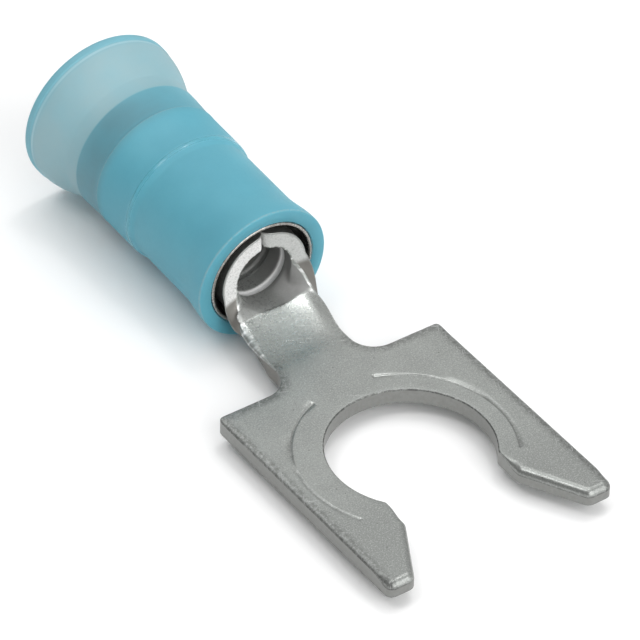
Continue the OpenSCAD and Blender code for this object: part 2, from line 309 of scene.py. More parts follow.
def chain(stretches):
    """Stretches end to end, with the points that they share kept once."""
    return np.concatenate([stretches[0]] + [stretch[1:] for stretch in stretches[1:]])


def mirrored(points):
    """The same points across the long axis, in reverse order."""
    return points[::-1] * np.array([-1.0, 1.0])


def running_mean(values_in, reach):
    """Closed running mean over 2 reach + 1 neighbours, with weights that fall off to both sides."""
    weights = np.concatenate([np.arange(1, reach + 2), np.arange(reach, 0, -1)]).astype(float)
    weights /= weights.sum()
    shifts = range(-reach, reach + 1)
    return sum(w * np.roll(values_in, k, axis=0) for w, k in zip(weights, shifts))


def ripple(t, seed):
    """Sum of five sines with golden-ratio steps of frequency, from about -1 to 1, for uneven edges.

    With the golden ratio g it is the sum of sin(2.3 g^k t + (k + 1.7) seed) / (1 + 0.35 k), divided by 3.
    """
    total = np.zeros_like(t)
    for k in range(5):
        total += np.sin(t * 1.618 ** k * 2.3 + seed * (k + 1.7)) / (1.0 + 0.35 * k)
    return total / 3.0


# The formed strip

# Spokes in each stretch of the fork's right half, from the neck's centre line to the tip
SPOKES = (44, 100, 120, 34, 70)
# Angles on the hole where the spokes to the neck's side and to the shoulder's corner start
NECK_ANGLE = 74.0
SHOULDER_ANGLE = 44.0
# How far in front of the lobe's two ends the spokes from them reach the outer side
LOBE_LEAD = (0.5, 0.8)
# Steps of the shoulder's corner and of the taper's corner, and samples of the neck's side
SHOULDER_STEPS = 16
TAPER_STEPS = 24
SIDE_SAMPLES = 60
# Rows along the neck's edge: straight side, fillet, barrel end, notch and seam
ROWS = (40, 32, 28, 8, 52)
# Columns across the fork on either side of the coined groove, and on the groove with its two edges
BAND = 6
GROOVE_BAND = 9
# Shares of a spoke between which the groove's middle stays, and the most that half the groove takes
GROOVE_RANGE = (0.2, 0.8)
GROOVE_SHARE = 0.12
# Power that gathers the columns towards the groove
GATHER = 0.8
# Neighbours over which the groove's place, the outline's corners and the edges' rolls are smoothed
GROOVE_BLUR = 6
CORNER_BLUR = 3
ROLL_BLUR = 8
# Power with which the neck's rows bow from the middle to the edges
BOW = 4
# Powers with which the sides' curl and the floor's climb grow
CURL_POWER = 4.2
CLIMB_POWER = 1.6
# Share of the barrel's curvature that the floor's right half has at the crease
CREASE_SHARE = 0.22
# Least share of curvature that is used, and half the step over which the strip's slope is taken
LEAST_SHARE = 1e-4
SLOPE_STEP = 0.01
# Length of a serration's sloped flank
FLANK = 0.07
# Angles in radians over which a coined arc gets thin and over which its ends run out
COIN_TAPER = 0.3
COIN_END = 0.03
# Steps of an upper edge, of the sheared wall and of a lower edge
EDGE_STEPS = (6, 4, 3)
# Shares of the way down the sheared wall at its first and last row
WALL_SHARES = (0.05, 0.9)
# How far inside the fork's width a point no longer counts as on its outer sides
SIDE_MARGIN = 0.05

# Spans (start, length) over which the edge's roll changes: from the lobe's inner end towards the tip, from
# the tip's end, from the shoulder, from the neck's root towards the barrel and from the barrel to the neck
LOBE_TO_TIP = (0.3, 0.7)
SIDE_TO_TIP = (-1.1, 0.8)
SIDE_TO_SHOULDER = (-0.4, 0.3)
ROOT_TO_NECK = (0.4, 0.8)
BARREL_TO_NECK = (0.0, 0.3)
# Spans of the burr's start and end along the neck, and of the dark line round the hole, inwards to its edge
BURR_START = (0.2, 0.8)
BURR_END = (0.0, 0.3)
HOLE_LINE = (-0.1, 0.05)
# Spans of the bright flecks on the neck's rolled left side: across it, from the root and from the crease
FLECK_SIDE = (-0.03, 0.06)
FLECK_START = (0.6, 0.8)
FLECK_END = (-0.2, 0.3)
# Span in radians from a coined arc's start to its thin part
THIN_PART = (0.25, 0.25)
# Rates per millimetre of the ripple in the burr and in the flecks, the flecks' level, and the ripple's seed
BURR_WAVES = 6.0
FLECK_WAVES = 5.0
FLECK_LEVEL = 0.5
BURR_SEED = 2.0
# Strength of the painted contact shade along the lower edges
FOOT_SHADE = 0.6
# Distance to the outer sides that edges elsewhere are given
FAR = 9.0
# Points for which distances are worked out at once
SLICE = 2000


def taper_end(start, corner, radius):
    """Arc that rounds the corner between a taper and the tip's end, which runs along x.

    With the taper's direction (u, v), the centre lies one radius from both lines, on the strip's side.
    """
    u, v = corner[0] - start[0], corner[1] - start[1]
    u, v = u / math.hypot(u, v), v / math.hypot(u, v)
    back = radius / math.tan(math.acos(-u) / 2)
    centre = (corner[0] - u * back - v * radius, corner[1] - v * back + u * radius)
    turn = math.degrees(math.atan2(-u, v)) % 360
    return arc(centre, radius, turn, 270, TAPER_STEPS)


def lobe_end(f):
    """Place along the axis where the hole's arc meets the lobes: y = -sqrt(r^2 - x^2)."""
    return -math.sqrt(f.hole_radius ** 2 - (f.lobe_gap / 2) ** 2)


def fork_stretches(f, b):
    """Matched paths of the fork's right half: along the hole, lobe and taper, and along the outside."""
    half = f.width / 2
    neck = f.neck_width / 2
    lobe_x = f.lobe_gap / 2
    lobe_y = lobe_end(f)
    lobe_angle = -math.degrees(math.acos(lobe_x / f.hole_radius))
    lobe_front = (lobe_x, -f.lobe_reach)
    side_a = (half, lobe_y - LOBE_LEAD[0])
    side_b = (half, -f.lobe_reach - LOBE_LEAD[1])
    tip_centre = (half - f.tip_corner, f.tip_corner - f.tip_reach)
    tip_inside = taper_end(lobe_front, (half - f.tip_width, -f.tip_reach), f.tip_corner)
    fillet = arc((neck + f.neck_fillet, b.root_y), f.neck_fillet, 180, 270)
    corner_centre = (half - f.shoulder_round, f.shoulder_reach - f.shoulder_round)
    corner = arc(corner_centre, f.shoulder_round, 90, 0, SHOULDER_STEPS)
    middle = SHOULDER_STEPS // 2
    inner = (
        arc((0, 0), f.hole_radius, 90, NECK_ANGLE),
        arc((0, 0), f.hole_radius, NECK_ANGLE, SHOULDER_ANGLE),
        arc((0, 0), f.hole_radius, SHOULDER_ANGLE, lobe_angle),
        line((lobe_x, lobe_y), lobe_front),
        np.concatenate([line(lobe_front), tip_inside]),
    )
    outer = (
        line((0, b.root_y), (neck, b.root_y)),
        np.concatenate([fillet, corner[:middle + 1]]),
        np.concatenate([corner[middle:], line(side_a)]),
        line(side_a, side_b),
        np.concatenate([line(side_b), arc(tip_centre, f.tip_corner, 0, -90)]),
    )
    inside = [evenly(path, count) for path, count in zip(inner, SPOKES)]
    outside = [evenly(path, count) for path, count in zip(outer, SPOKES)]
    return chain(inside), chain(outside)


def neck_shift(y, b):
    """Sideways shift of the neck's middle, eased in from the climb's start to the mouth's fillet."""
    return b.neck_shift * ease((y - b.climb_y) / (b.front_y - b.mouth_fillet - b.climb_y))


def neck_side(f, b, hand):
    """Edge of the blank on one hand (1 is right), from the neck's root to the barrel's rear.

    It is the side, which widens by an ease from the climb's start to the cheek and shifts with the neck,
    then the fillet, the barrel's end, the notch and the seam.
    """
    neck = f.neck_width / 2
    centre = (b.cheek_half + hand * b.neck_shift + b.mouth_fillet, b.front_y - b.mouth_fillet)
    y = np.linspace(b.root_y, centre[1], SIDE_SAMPLES)
    wide = mix(neck, b.cheek_half, ease((y - b.climb_y) / (centre[1] - b.climb_y)))
    side = np.stack([wide + hand * neck_shift(y, b), y], -1)
    end = (b.full_half - b.seam_notch, b.front_y)
    seam = (b.full_half, b.front_y + b.seam_notch)
    paths = (
        side,
        arc(centre, b.mouth_fillet, 180, 90),
        line((centre[0], b.front_y), end),
        line(end, seam),
        line(seam, (b.full_half, b.rear_y)),
    )
    return chain([evenly(path, count) for path, count in zip(paths, ROWS)]) * np.array([hand, 1.0])


def groove_columns(inner, outer, f):
    """Shares across each spoke at which its columns lie, gathered towards the coined groove and on it.

    A spoke p + v d meets the groove's circle where |p + v d - c| = r, which is a quadratic in v.
    """
    centre = np.array([f.coin_shift, 0.0])
    d = outer - inner
    p = inner - centre
    a = (d * d).sum(1)
    half_b = (p * d).sum(1)
    c = (p * p).sum(1) - f.coin_radius ** 2
    root = np.sqrt(np.maximum(half_b ** 2 - a * c, 0.0))
    middle = running_mean(np.clip((root - half_b) / a, *GROOVE_RANGE), GROOVE_BLUR)
    wide = np.minimum(f.coin_width / 2 / np.sqrt(a), GROOVE_SHARE)
    near = np.linspace(0.0, 1.0, BAND + 1) ** GATHER
    left = near[None, :] * (middle - wide)[:, None]
    right = 1.0 - near[None, ::-1] * (1.0 - middle - wide)[:, None]
    inside = np.linspace(-1.0, 1.0, GROOVE_BAND)[None, 1:-1]
    groove = middle[:, None] + inside * wide[:, None]
    return np.concatenate([left, groove, right], 1)


def edge_roll(points, f, b, on_side):
    """Upper edge's roll along the outline: small on hole and neck, on_side on the sides, large on tips."""
    x, y = np.abs(points[:, 0]), points[:, 1]
    inside = x < f.width / 2 - SIDE_MARGIN
    tip = rise(lobe_end(f) - y, LOBE_TO_TIP)
    outer_tip = rise(-f.tip_reach - y, SIDE_TO_TIP)
    rear = rise(y - f.shoulder_reach, SIDE_TO_SHOULDER)
    neck = rise(y - b.root_y, ROOT_TO_NECK) * rise(b.front_y - y, BARREL_TO_NECK)
    inner_roll = mix(f.hole_roll, f.tip_roll, tip)
    outer_roll = mix(mix(on_side, f.tip_roll, outer_tip), f.hole_roll, rear)
    return np.where(inside, mix(inner_roll, f.neck_roll, neck), outer_roll)


def serrations(y, b):
    """Depth of the ring grooves inside the barrel at a place along it, with steep smooth flanks."""
    depth = np.zeros_like(y)
    for k in range(b.grooves):
        start = b.rolled_y + b.groove_lead + k * b.groove_pitch
        front = ease((y - start) / FLANK + 1)
        back = ease((start + b.groove_width - y) / FLANK + 1)
        depth = np.maximum(depth, front * back)
    return depth * b.groove_depth


def entry_cut(y, b):
    """Height that the bevel takes off the barrel's inside at a place along it, at 45 degrees."""
    return np.clip(y - b.rear_y + b.entry_bevel, 0.0, b.entry_bevel)


def coin_turn(points, f):
    """Angle of each point from the long axis, about the coined arcs' centre."""
    return np.abs(np.arctan2(points[..., 0] - f.coin_shift, points[..., 1]))


def coined(points, f):
    """Depth of the two coined arcs: a V across the groove, wide at its start and thin along the rest."""
    turn = coin_turn(points, f)
    width = mix(f.coin_width, f.coin_thin, ease((turn - f.coin_start) / COIN_TAPER))
    reach = np.hypot(points[..., 0] - f.coin_shift, points[..., 1])
    across = np.abs(reach - f.coin_radius) / (width / 2)
    ends = ease((turn - f.coin_start) / COIN_END) * ease((f.coin_start + f.coin_span - turn) / COIN_END)
    return f.coin_depth * np.clip(1.0 - across, 0.0, 1.0) * ends


def bent(s, y, share, lift, b, middle=0.0):
    """Circle arc across the strip at y: its share of the barrel's curvature, lifted by a share of the rise.

    With curvature k and d = s - middle the point is x = middle + sin(k d) / k and z = (1 - cos(k d)) / k
    above the floor.
    """
    bend = np.maximum(share, LEAST_SHARE) / b.mid_r
    axis = b.axis_z + (y - b.front_y) * b.slope
    floor = mix(b.strip / 2, axis - b.mid_r, lift)
    d = s - middle
    return middle + np.sin(bend * d) / bend, floor + (1.0 - np.cos(bend * d)) / bend


def strip_middle(s, y, b):
    """Middle of the strip at a distance s from its centre line, in the plane across the axis at y.

    The sides curl as a power of the way from the curl's start to the barrel's front. The floor climbs from
    the tongue to a crease, curls a little on the right and goes round only behind the crease. The strip
    blends both across its width.
    """
    curl = np.clip((y - b.curl_y) / (b.front_y - b.curl_y), 0.0, 1.0) ** CURL_POWER
    climb = np.clip((y - b.climb_y) / (b.crease_y - b.climb_y), 0.0, 1.0) ** CLIMB_POWER
    late = np.clip((y - b.crease_y) / (b.rolled_y - b.crease_y), 0.0, 1.0)
    shift = neck_shift(y, b)
    middle = shift * (1.0 - ease(late))
    early = np.where(s > middle, CREASE_SHARE * climb, 0.0)
    floor_x, floor_z = bent(s, y, mix(early, 1.0, late), climb, b, middle)
    side_x, side_z = bent(s, y, curl, curl, b)
    aside = np.abs(s - shift)
    flat = np.where(s > shift, b.flat_half, b.flat_left)
    side = ease((aside - flat) / (b.side_half - flat))
    return mix(floor_x, side_x, side), mix(floor_z, side_z, side)


def formed(flat, height, b):
    """Carries points of the flat blank, at a height in its thickness, to their place on the rolled strip.

    The height is laid off along the section's normal, which comes from the slope across the strip.
    """
    s, y = flat[..., 0], flat[..., 1]
    x, z = strip_middle(s, y, b)
    x_right, z_right = strip_middle(s + SLOPE_STEP, y, b)
    x_left, z_left = strip_middle(s - SLOPE_STEP, y, b)
    run, climb = x_right - x_left, z_right - z_left
    lift = (height - b.strip / 2) / np.hypot(run, climb)
    return np.stack([x - climb * lift, y, z + run * lift], -1)


def barrel_frame(f, b):
    """Adds the derived sizes of neck and barrel, with the axis taken from the wire barrel's mount."""
    axis = BORE["axis"]
    place = np.array(BORE["pos_m"]) / MM
    b.strip = f.strip
    b.slope = axis[2] / axis[1]
    b.axis_z = place[2] - (place[1] - b.front_y) * b.slope
    b.mid_r = BORE["dims"]["r_mm"] + f.strip / 2
    b.neck_shift = f.neck_shift
    b.root_y = f.shoulder_reach + f.neck_fillet
    b.full_half = math.pi * b.mid_r - b.seam_gap / 2
    b.rolled_y = b.front_y + b.roll_length
    b.rear_y = b.front_y + b.barrel_length * axis[1]
    return b


def grid_faces(index):
    """Quads of a grid of vertex numbers, turned so that a grid running right then up faces up."""
    a, b = index[:-1, :-1], index[:-1, 1:]
    c, d = index[1:, 1:], index[1:, :-1]
    return np.stack([a, b, c, d], -1).reshape(-1, 4)


def least_distance(points, outline):
    """Distance of each point to the nearest outline point, worked out in slices to save memory."""
    slices = np.array_split(points, max(1, len(points) // SLICE))
    return np.concatenate([
        np.sqrt(((part[:, None, :] - outline[None, :, :]) ** 2).sum(2)).min(1) for part in slices])


def outward_normals(outline):
    """Unit normals of a closed outline that runs clockwise, a quarter turn to the left of its direction."""
    tangent = np.roll(outline, -1, axis=0) - np.roll(outline, 1, axis=0)
    tangent /= np.linalg.norm(tangent, axis=1)[:, None]
    return np.stack([-tangent[:, 1], tangent[:, 0]], 1)


def neck_grid(left_edge, right_edge, b):
    """Rows from the left edge to the right one, bowed from the edges' places to even steps in the middle."""
    across = np.linspace(-1.0, 1.0, 2 * SPOKES[0] + 1)[None, :]
    middle_y = np.linspace(b.root_y, right_edge[-1, 1], len(right_edge))[:, None]
    edge_y = np.where(across < 0, left_edge[:, 1:], right_edge[:, 1:])
    x = mix(left_edge[:, :1], right_edge[:, :1], (across + 1.0) / 2)
    y = middle_y + (edge_y - middle_y) * across ** BOW
    return np.stack([x, y], -1)


def edge_profile(crest, roll, fall, burr, foot):
    """Outward step and height of each row of the edge, from the upper ring to the lower one.

    The rows go over a quarter ellipse of width roll and height fall with a burr on it, down the sheared
    wall, and round a quarter circle of radius foot.
    """
    upper, wall, lower = EDGE_STEPS
    phi = np.radians(np.linspace(0, 90, upper + 1))[1:, None]
    psi = np.radians(np.linspace(0, 90, lower + 1))[:, None]
    round_out = roll * np.sin(phi)
    round_up = crest - fall * (1.0 - np.cos(phi)) + burr * np.sin(phi * 2.0) ** 2
    wall_out = np.tile(roll, (wall, 1))
    wall_up = mix(crest - fall, foot, np.linspace(*WALL_SHARES, wall)[:, None])
    foot_out = roll - foot * (1.0 - np.cos(psi))
    foot_up = np.repeat(foot * (1.0 - np.sin(psi)), len(crest), 1)
    return np.concatenate([round_out, wall_out, foot_out]), np.concatenate([round_up, wall_up, foot_up])


def neck_edges(y, b):
    """1 along the neck's edges and 0 in front of it and behind it, at a place y of the outline."""
    return rise(y - b.root_y, BURR_START) * rise(b.rolled_y - y, BURR_END)


def strip_surface(f, b):
    """The whole stamped and rolled strip as one closed surface.

    The blank is two grids: spokes from the hole's side to the outside of the fork, and rows along the neck
    and barrel. They share the neck's root. A closed outline runs round both, and an edge profile (upper
    round, sheared wall, lower round) is carried along it between the upper and the lower grids. Every
    point (s, y, height) of that blank is then carried to its place on the rolled strip.
    """
    inner_right, outer_right = fork_stretches(f, b)
    inner = chain([mirrored(inner_right), inner_right])
    outer = chain([mirrored(outer_right), outer_right])
    share = groove_columns(inner, outer, f)
    spokes, columns = share.shape
    root = SPOKES[0]
    centre = spokes // 2
    right_side = neck_side(f, b, 1.0)
    left_side = neck_side(f, b, -1.0)

    # Outline pieces in order: right outside, right tip, inside, left tip, left outside, then the left side,
    # the rear and the right side of neck and barrel
    tip_right = mix(inner[-1], outer[-1], share[-1][::-1, None])
    tip_left = mix(inner[0], outer[0], share[0][:, None])
    rear_x = np.linspace(-1.0, 1.0, 2 * root + 1)[:, None] * b.full_half
    rear = np.concatenate([rear_x, np.full_like(rear_x, b.rear_y)], 1)
    pieces = (
        outer[centre + root:], tip_right[1:-1], inner[::-1], tip_left[1:-1],
        outer[:centre - root + 1], left_side[1:], rear[1:-1], right_side[:0:-1],
    )
    counts = np.cumsum([0] + [len(piece) for piece in pieces])
    outer_sides = np.r_[counts[0]:counts[1], counts[4]:counts[5]]
    outline = running_mean(np.concatenate(pieces), CORNER_BLUR)
    outward = outward_normals(outline)
    roll = running_mean(edge_roll(outline, f, b, f.side_roll), ROLL_BLUR)
    fall = running_mean(edge_roll(outline, f, b, f.side_fall), ROLL_BLUR)
    ring = outline - outward * roll[:, None]
    part = [ring[a:z] for a, z in zip(counts[:-1], counts[1:])]

    # Fork grid between the inner and the outer ring, and neck grid between its two edges
    ring_root = np.linspace(part[4][-1], part[0][0], 2 * root + 1)
    ring_inner = part[2][::-1]
    ring_outer = np.concatenate([part[4], ring_root[1:-1], part[0]])
    fork = mix(ring_inner[:, None, :], ring_outer[:, None, :], share[..., None])
    fork[-1, 1:-1] = part[1][::-1]
    fork[0, 1:-1] = part[3]
    left_edge = np.concatenate([part[4][-1:], part[5]])
    right_edge = np.concatenate([part[0][:1], part[7][::-1]])
    neck = neck_grid(left_edge, right_edge, b)
    flat = np.concatenate([fork.reshape(-1, 2), neck[1:].reshape(-1, 2)])
    size = len(flat)

    # Vertex numbers of the upper grids, where the neck's first row is the fork's root, and of their outline
    fork_index = np.arange(spokes * columns).reshape(spokes, columns)
    root_index = fork_index[centre - root:centre + root + 1, -1]
    neck_index = np.arange(spokes * columns, size).reshape(-1, 2 * root + 1)
    neck_index = np.concatenate([root_index[None, :], neck_index])
    loop = np.concatenate([
        fork_index[centre + root:, -1], fork_index[-1, -2:0:-1], fork_index[::-1, 0], fork_index[0, 1:-1],
        fork_index[:centre - root + 1, -1], neck_index[1:, 0], neck_index[-1, 1:-1], neck_index[:0:-1, -1],
    ])

    # Heights of the upper grids and of the rows of the edge
    y = flat[:, 1]
    in_barrel = np.where(y > b.front_y, serrations(y, b) + entry_cut(y, b), 0.0)
    top_height = f.strip - coined(flat, f) - in_barrel
    along = np.concatenate([[0.0], np.cumsum(np.linalg.norm(np.diff(outline, axis=0), axis=1))])
    burr = neck_edges(outline[:, 1], b) * np.clip(ripple(along * BURR_WAVES, BURR_SEED), 0.0, 1.0)
    step_out, step_up = edge_profile(top_height[loop], roll, fall, f.burr * burr, f.foot_roll)
    rim = ring + outward * step_out[..., None]

    # Upper grids, lower grids and the band of edge rows between them
    rim_index = 2 * size + np.arange(step_out.size).reshape(step_out.shape)
    band = np.concatenate([loop[None, :], rim_index, loop[None, :] + size])
    band = np.concatenate([band, band[:, :1]], 1)
    faces = np.concatenate([
        grid_faces(fork_index.T), grid_faces(neck_index),
        grid_faces(fork_index + size), grid_faces(neck_index.T + size),
        grid_faces(band),
    ])
    points = np.concatenate([
        formed(flat, top_height, b), formed(flat, np.zeros(size), b),
        formed(rim, step_up, b).reshape(-1, 3),
    ])
    return points, faces, strip_masks(flat, outline, outer_sides, burr, f, b)


def strip_masks(flat, outline, outer_sides, burr, f, b):
    """Numbers per vertex for the finish, in the order upper grid, lower grid, rows of the edge profile.

    They are the distance to the outer sides, and masks of the upper grid, of the sheared wall, of the
    painted shade lines along the edges and the burr's dark line round the hole, of the burr along the neck
    with the flecks beside it, and of the coined arcs' thin part.
    """
    upper, wall, lower = EDGE_STEPS
    rows = upper + wall + lower + 1
    inset = least_distance(flat, outline[outer_sides])
    on_rim = np.full(len(outline), FAR)
    on_rim[outer_sides] = 0.0
    walls = np.zeros((rows, len(outline)))
    walls[upper:upper + wall] = 1.0
    # Painted shade lines: the last row of each upper edge except along the neck, and contact shade at the
    # lower edges; round the hole the line is the burr's dark edge
    lines = np.zeros_like(walls)
    lines[:upper - 1] = rise(f.hole_radius - np.linalg.norm(outline, axis=1), HOLE_LINE)
    lines[upper - 1] = 1.0 - neck_edges(outline[:, 1], b)
    lines[upper + wall] = FOOT_SHADE
    burrs = np.zeros_like(walls)
    burrs[:upper] = burr
    x, y = flat[:, 0], flat[:, 1]
    flecks = rise(neck_shift(y, b) - x - b.flat_left, FLECK_SIDE)
    flecks *= rise(y - b.root_y, FLECK_START) * rise(b.crease_y - y, FLECK_END)
    flecks *= np.clip(FLECK_LEVEL + ripple(y * FLECK_WAVES, BURR_SEED), 0.0, 1.0)
    thin = coined(flat, f) / f.coin_depth * rise(coin_turn(flat, f) - f.coin_start, THIN_PART)
    none = np.zeros(len(flat))
    no_rim = np.zeros(walls.size)
    return {
        "side": np.concatenate([inset, inset, np.tile(on_rim, rows)]),
        "upper": np.concatenate([none + 1.0, none, no_rim]),
        "cut": np.concatenate([none, none, walls.ravel()]),
        "line": np.concatenate([none, none, lines.ravel()]),
        "burr": np.concatenate([flecks, none, burrs.ravel()]),
        "coin": np.concatenate([thin, none, no_rim]),
    }


# Revolved sleeves

# Steps round the axis and along an eased or ramped stretch, and points along the funnel's in- and outside
TURNS = 160
STRETCH_STEPS = 24
CONE_POINTS = 12
FLANK_POINTS = 33
# Steps of the metal's round ends, of the nylon's rim and ring line, of the bead's corner and of the lip
END_STEPS = 10
RIM_STEPS = 8
BEAD_STEPS = 14
LIP_STEPS = 6
# Share of a ramp that its rounded ends add before and behind it
OVERRUN = 0.35
# Bevel of the nylon's inside corners and of its pocket's front edge
INNER_BEVEL = 0.03
# Length of the throat's last straight stretch, just in front of the funnel
THROAT_HOLD = 0.15
# How far the funnel's inside ends below the rim, and the angle in degrees where the rim's corner starts
CONE_DROP = 0.03
RIM_ANGLE = -70
# Length of the rim's lip, and distance from the ring line to the curve behind it
LIP_LENGTH = 0.06
RING_CLEAR = 0.08
# How far inside the metal's step the nylon's step has its rear and front ends, and their rounding
STEP_REAR = 0.03
STEP_FRONT = 0.14
STEP_ROUND = 0.05


def s_curve(start, stop, count=STRETCH_STEPS):
    """Profile points from [station, radius] to [station, radius], with the radius eased."""
    u = np.linspace(0.0, 1.0, count + 1)
    return np.stack([mix(start[0], stop[0], u), mix(start[1], stop[1], ease(u))], -1)


def ramped(start, stop, rounding):
    """Profile points along a straight ramp whose two ends are rounded over a length.

    With the rounding r as a share of the ramp, the height at u is (1 + |u, r| - |u - 1, r|) / 2.
    """
    station = np.linspace(-1.0, 2.0, 3 * STRETCH_STEPS + 1) * (stop[0] - start[0]) + start[0]
    share = (station - start[0]) / (stop[0] - start[0])
    soft = rounding / abs(stop[0] - start[0])
    height = 0.5 + 0.5 * (np.hypot(share, soft) - np.hypot(share - 1.0, soft))
    keep = (share > -OVERRUN) & (share < 1.0 + OVERRUN)
    return np.stack([station, mix(start[1], stop[1], height)], -1)[keep]


def sleeve_line(v, gap):
    """Inside line of the metal sleeve, grown by a gap: bell, drawn-down grip, support and flare."""
    return np.concatenate([
        s_curve((0.0, v.open_radius + gap), (v.bell, v.grip_radius + gap)),
        s_curve((v.grip, v.grip_radius + gap), (v.support, v.open_radius + gap)),
        s_curve((v.flare, v.open_radius + gap), (v.rear, v.flare_radius + gap)),
    ])


def revolved(profile, v, b):
    """A closed [station, radius] profile turned about the barrel's axis.

    The point at angle a is start + station * along + radius * (cos a * across + sin a * up).
    """
    along = np.array(BORE["axis"], float)
    along /= np.linalg.norm(along)
    across = np.array([1.0, 0.0, 0.0])
    up = np.cross(across, along)
    start = np.array([0.0, b.front_y, b.axis_z]) + along * v.proud
    a = np.linspace(0.0, 2.0 * math.pi, TURNS, endpoint=False)[:, None, None]
    station = profile[None, :, :1]
    radius = profile[None, :, 1:]
    points = start + station * along + radius * (np.cos(a) * across + np.sin(a) * up)
    index = np.arange(points.shape[0] * points.shape[1]).reshape(points.shape[:2])
    index = np.concatenate([index, index[:1]])
    index = np.concatenate([index, index[:, :1]], 1)
    return points.reshape(-1, 3), grid_faces(index.T)


def sleeve_profile(v):
    """The metal sleeve's wall, with half-round ends."""
    half = v.wall / 2
    inner = sleeve_line(v, 0.0)
    outer = sleeve_line(v, v.wall)[::-1]
    rear = arc((v.rear - half, v.flare_radius + half), half, -90, 90, END_STEPS)
    front = arc((half, v.open_radius + half), half, 90, 270, END_STEPS)
    keep = (inner[:, 0] > half) & (inner[:, 0] < v.rear - half)
    return np.concatenate([inner[keep], rear, outer[keep[::-1]], front])


def nylon_profile(v):
    """The nylon sleeve: pocket for the metal sleeve, seat, throat, funnel, round rim, body and bead."""
    gap = v.wall + v.fit
    skin = v.open_radius + gap + v.skin_wall
    waist = v.grip_radius + gap + v.grip_wall
    rear_skin = skin + v.flare_radius - v.open_radius
    bead = skin + v.bead
    seat = v.rear + v.fit
    pocket = sleeve_line(v, gap)
    pocket = pocket[pocket[:, 0] < v.rear - INNER_BEVEL]
    step = line(
        (seat - INNER_BEVEL, v.flare_radius + gap), (seat, v.flare_radius + gap - INNER_BEVEL),
        (seat, v.open_radius + INNER_BEVEL), (seat + INNER_BEVEL, v.open_radius),
        (v.throat - THROAT_HOLD, v.open_radius),
    )
    mouth = v.funnel_radius - v.rim_wall
    rim_centre = v.funnel - v.rim_round
    cone = np.linspace((v.throat, v.open_radius), (rim_centre, mouth - CONE_DROP), CONE_POINTS)
    rim = np.concatenate([
        arc((rim_centre, mouth + v.rim_round), v.rim_round, RIM_ANGLE, 0, RIM_STEPS),
        arc((rim_centre, v.funnel_radius - v.rim_round), v.rim_round, 0, 90, RIM_STEPS),
    ])
    bell_end = v.funnel - v.rim
    bell_radius = v.funnel_radius - v.lip
    lip = s_curve((bell_end + LIP_LENGTH, v.funnel_radius), (bell_end, bell_radius), LIP_STEPS)
    u = np.linspace(1.0, 0.0, FLANK_POINTS)
    flank = mix(rear_skin, bell_radius, np.sin(u * math.pi / 2))
    funnel = np.concatenate([lip[:-1], np.stack([mix(v.throat, bell_end, u), flank], -1)])
    body = np.concatenate([
        s_curve((v.rear, rear_skin), (v.flare + RING_CLEAR, skin)),
        arc((v.flare, skin), v.ridge, 0, 180, RIM_STEPS)[1:-1],
        ramped((v.support - STEP_REAR, skin), (v.grip + STEP_FRONT, waist), STEP_ROUND),
        s_curve((v.bell, waist), (v.bead_round, bead)),
    ])
    face = arc((v.bead_round, bead - v.bead_round), v.bead_round, 90, 180, BEAD_STEPS)[1:]
    front = line((0.0, v.open_radius + gap + INNER_BEVEL))
    return np.concatenate([pocket[1:], step, cone, rim, funnel, body, face, front])


# Meshes

def make_piece(name, points, faces, material, attributes=None):
    """Puts points in millimetres and quads into a smooth mesh object at the origin."""
    mesh = bpy.data.meshes.new(name)
    mesh.from_pydata((points * MM).tolist(), [], faces.tolist())
    mesh.polygons.foreach_set("use_smooth", np.ones(len(mesh.polygons), bool))
    for label, data in (attributes or {}).items():
        layer = mesh.attributes.new(label, "FLOAT", "POINT")
        layer.data.foreach_set("value", data.astype(np.float32))
    mesh.materials.append(material)
    if mesh.validate():
        raise RuntimeError(f"{name} had faces that Blender had to mend")
    mesh.update()
    piece = bpy.data.objects.new(name, mesh)
    bpy.context.scene.collection.objects.link(piece)
    return piece


# Shader expressions

class Field:
    """A shader value: Python's operators on it add the Math nodes that work it out."""

    def __init__(self, finish, socket):
        self.finish = finish
        self.socket = socket

    def math(self, operation, *terms):
        """The result of one Math node on the terms."""
        return self.finish.node("ShaderNodeMath", {"operation": operation}, dict(enumerate(terms)))

    def __add__(self, other):
        return self.math("ADD", self, other)

    def __sub__(self, other):
        return self.math("SUBTRACT", self, other)

    def __rsub__(self, other):
        return self.math("SUBTRACT", other, self)

    def __mul__(self, other):
        return self.math("MULTIPLY", self, other)

    __radd__ = __add__
    __rmul__ = __mul__

    def size(self):
        """The value without its sign."""
        return self.math("ABSOLUTE", self)

    def held(self):
        """The value held between 0 and 1."""
        return self.finish.node("ShaderNodeClamp", {}, {"Value": self})

    def ramp(self, low, high):
        """Smooth rise from 0 at low to 1 at high."""
        settings = {"interpolation_type": "SMOOTHSTEP"}
        inputs = {"Value": self, "From Min": low, "From Max": high}
        return self.finish.node("ShaderNodeMapRange", settings, inputs)


